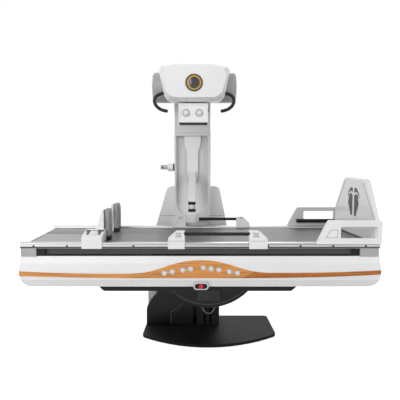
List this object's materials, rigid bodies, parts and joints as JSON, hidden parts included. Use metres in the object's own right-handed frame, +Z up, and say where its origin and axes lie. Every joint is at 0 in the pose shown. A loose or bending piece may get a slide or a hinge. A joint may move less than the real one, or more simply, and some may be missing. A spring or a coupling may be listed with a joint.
{
  "type": "radiography table",
  "caption": "Tilting radiography table: floor stand with lift and tilt drive, long table with sliding top and rail accessories, rear column carrying an X-ray tube head and a belly compressor.",
  "frame": {"origin": "on the underside of the floor plate, straight below the tilt axis", "axes": "+X along the table toward the foot end, -Y toward the operator, +Z up"},
  "size_m": [2.1128, 1.324, 1.918],
  "materials": {
    "plate_black": "gloss black lacquer",
    "mast_black": "satin black powder coat",
    "ram_steel": "ground steel",
    "cover_black": "gloss black moulding",
    "shell_grey": "light grey moulding",
    "sector_black": "satin black paint",
    "rod_black": "black rod",
    "tray_black": "black paint",
    "body_white": "gloss white moulding",
    "band_wood": "orange lacquered wood grain",
    "rail_aluminium": "brushed and anodised",
    "bezel_black": "black with a grey rim",
    "stop_red": "red",
    "button_silver": "silver grey",
    "top_grey": "dark grey satin laminate",
    "block_grey": "light grey",
    "accessory_white": "white",
    "pad_grey": "grey vinyl over foam",
    "foot_grey": "light grey",
    "tube_grey": "grey paint on a metal casing",
    "head_white": "white",
    "display_black": "black glass with an amber ring",
    "handle_black": "black grip",
    "knob_white": "white",
    "carriage_black": "black anodised",
    "detector_black": "black anodised",
    "column_grey": "light grey paint",
    "arm_grey": "light grey moulding",
    "compressor_white": "white"
  },
  "bodies": {
    "stand": {"floor_plate": "plate_black", "lift_mast": "mast_black", "lift_ram_barrel": "ram_steel", "stand_cover": "cover_black", "stand_rear_shell": "shell_grey"},
    "lift": {"lift_carriage": "mast_black", "lift_ram_rod": "ram_steel", "tilt_motor": "mast_black"},
    "tilt": {"tilt_sector": "sector_black", "hub_bracket": "sector_black", "cable_hoop": "rod_black", "shift_beam": "tray_black"},
    "table": {"body_front": "body_white", "wood_band": "band_wood", "body_rear": "body_white", "body_end_left": "body_white", "body_end_right": "body_white", "body_floor": "body_white", "column_track": "rail_aluminium", "e_stop_bezel": "bezel_black"},
    "e_stop": {"e_stop_button": "stop_red"},
    "key_1": {"button_1": "button_silver"},
    "key_2": {"button_2": "button_silver"},
    "key_3": {"button_3": "button_silver"},
    "key_4": {"button_4": "button_silver"},
    "key_5": {"button_5": "button_silver"},
    "key_6": {"button_6": "button_silver"},
    "key_7": {"button_7": "button_silver"},
    "key_8": {"button_8": "button_silver"},
    "key_9": {"button_9": "button_silver"},
    "top": {"tabletop": "top_grey", "rail_front": "rail_aluminium", "rail_rear": "rail_aluminium", "end_block_left": "block_grey", "end_block_right": "block_grey"},
    "shoulder_rest_front": {"shoulder_clamp_front": "accessory_white", "shoulder_pad_front": "pad_grey"},
    "shoulder_rest_rear": {"shoulder_clamp_rear": "accessory_white", "shoulder_pad_rear": "pad_grey"},
    "hand_grip_front": {"grip_front": "accessory_white"},
    "hand_grip_rear": {"grip_rear": "accessory_white"},
    "foot_support": {"footboard": "foot_grey", "foot_panel_front": "accessory_white", "foot_panel_rear": "foot_grey"},
    "column_base": {"column_carriage": "carriage_black", "detector": "detector_black", "base_cover": "shell_grey"},
    "column": {"column_post": "column_grey"},
    "side_lever": {"lever": "knob_white"},
    "arm": {"tube_arm": "arm_grey"},
    "head": {"tube_housing": "tube_grey", "head_cover": "head_white", "head_display": "display_black", "handle_left": "handle_black", "handle_right": "handle_black", "collimator": "head_white"},
    "field_knob_left": {"knob_left": "knob_white"},
    "field_knob_right": {"knob_right": "knob_white"},
    "compressor": {"compressor_arm": "compressor_white", "pressure_cone": "compressor_white"}
  },
  "joints": [
    {"name": "stand_lift", "type": "slide", "parent": "stand", "child": "lift", "axis": [0, 0, 1], "range_m": [-0.0534, 0.3201]},
    {"name": "table_tilt", "type": "hinge", "parent": "lift", "child": "tilt", "pos_m": [0, -0.08, 0.636], "axis": [0, 1, 0], "range_deg": [-15, 90]},
    {"name": "table_shift", "type": "slide", "parent": "tilt", "child": "table", "axis": [-1, 0, 0], "range_m": [-0.0368, 0.2201]},
    {"name": "tabletop_slide", "type": "slide", "parent": "table", "child": "top", "axis": [0, -1, 0], "range_m": [0, 0.1]},
    {"name": "shoulder_front_slide", "type": "slide", "parent": "top", "child": "shoulder_rest_front", "axis": [1, 0, 0], "range_m": [-0.2, 0.1]},
    {"name": "shoulder_rear_slide", "type": "slide", "parent": "top", "child": "shoulder_rest_rear", "axis": [1, 0, 0], "range_m": [-0.2, 0.1]},
    {"name": "grip_front_slide", "type": "slide", "parent": "top", "child": "hand_grip_front", "axis": [1, 0, 0], "range_m": [-0.2, 0.2]},
    {"name": "grip_rear_slide", "type": "slide", "parent": "top", "child": "hand_grip_rear", "axis": [1, 0, 0], "range_m": [-0.2, 0.2]},
    {"name": "footboard_slide", "type": "slide", "parent": "top", "child": "foot_support", "axis": [1, 0, 0], "range_m": [-0.2, 0]},
    {"name": "column_travel", "type": "slide", "parent": "table", "child": "column_base", "axis": [1, 0, 0], "range_m": [-0.35, 0.4]},
    {"name": "column_lean", "type": "hinge", "parent": "column_base", "child": "column", "pos_m": [-0.115, -0.055, 0.828], "axis": [0, 1, 0], "range_deg": [-30, 30]},
    {"name": "lever_turn", "type": "hinge", "parent": "column", "child": "side_lever", "pos_m": [-0.298, -0.078, 1.266], "axis": [1, 0, 0], "range_deg": [-45, 45]},
    {"name": "tube_lift", "type": "slide", "parent": "column", "child": "arm", "axis": [0, 0, 1], "range_m": [0, 0.3]},
    {"name": "tube_rotation", "type": "hinge", "parent": "arm", "child": "head", "pos_m": [-0.096, -0.5, 1.791], "axis": [0, 1, 0], "range_deg": [-90, 90]},
    {"name": "field_knob_left_turn", "type": "hinge", "parent": "head", "child": "field_knob_left", "pos_m": [-0.147, -0.66, 1.618], "axis": [0, 1, 0], "range_deg": [-60, 60]},
    {"name": "field_knob_right_turn", "type": "hinge", "parent": "head", "child": "field_knob_right", "pos_m": [-0.064, -0.66, 1.618], "axis": [0, 1, 0], "range_deg": [-60, 60]},
    {"name": "compressor_swing", "type": "hinge", "parent": "column", "child": "compressor", "pos_m": [-0.115, -0.1004, 1.223], "axis": [1, 0, 0], "range_deg": [-50, 0]},
    {"name": "e_stop_press", "type": "slide", "parent": "table", "child": "e_stop", "axis": [0, 1, 0], "range_m": [0, 0.006]},
    {"name": "button_1_press", "type": "slide", "parent": "table", "child": "key_1", "axis": [0, 1, 0], "range_m": [0, 0.003], "stiffness_N_per_m": 900, "springref_m": -0.001},
    {"name": "button_2_press", "type": "slide", "parent": "table", "child": "key_2", "axis": [0, 1, 0], "range_m": [0, 0.003], "stiffness_N_per_m": 900, "springref_m": -0.001},
    {"name": "button_3_press", "type": "slide", "parent": "table", "child": "key_3", "axis": [0, 1, 0], "range_m": [0, 0.003], "stiffness_N_per_m": 900, "springref_m": -0.001},
    {"name": "button_4_press", "type": "slide", "parent": "table", "child": "key_4", "axis": [0, 1, 0], "range_m": [0, 0.003], "stiffness_N_per_m": 900, "springref_m": -0.001},
    {"name": "button_5_press", "type": "slide", "parent": "table", "child": "key_5", "axis": [0, 1, 0], "range_m": [0, 0.003], "stiffness_N_per_m": 900, "springref_m": -0.001},
    {"name": "button_6_press", "type": "slide", "parent": "table", "child": "key_6", "axis": [0, 1, 0], "range_m": [0, 0.003], "stiffness_N_per_m": 900, "springref_m": -0.001},
    {"name": "button_7_press", "type": "slide", "parent": "table", "child": "key_7", "axis": [0, 1, 0], "range_m": [0, 0.003], "stiffness_N_per_m": 900, "springref_m": -0.001},
    {"name": "button_8_press", "type": "slide", "parent": "table", "child": "key_8", "axis": [0, 1, 0], "range_m": [0, 0.003], "stiffness_N_per_m": 900, "springref_m": -0.001},
    {"name": "button_9_press", "type": "slide", "parent": "table", "child": "key_9", "axis": [0, 1, 0], "range_m": [0, 0.003], "stiffness_N_per_m": 900, "springref_m": -0.001}
  ],
  "couplings": [
    {"joint": "stand_lift", "follows": "table_tilt", "m_per_rad": 0.20372},
    {"joint": "table_shift", "follows": "table_tilt", "m_per_rad": 0.14006}
  ]
}
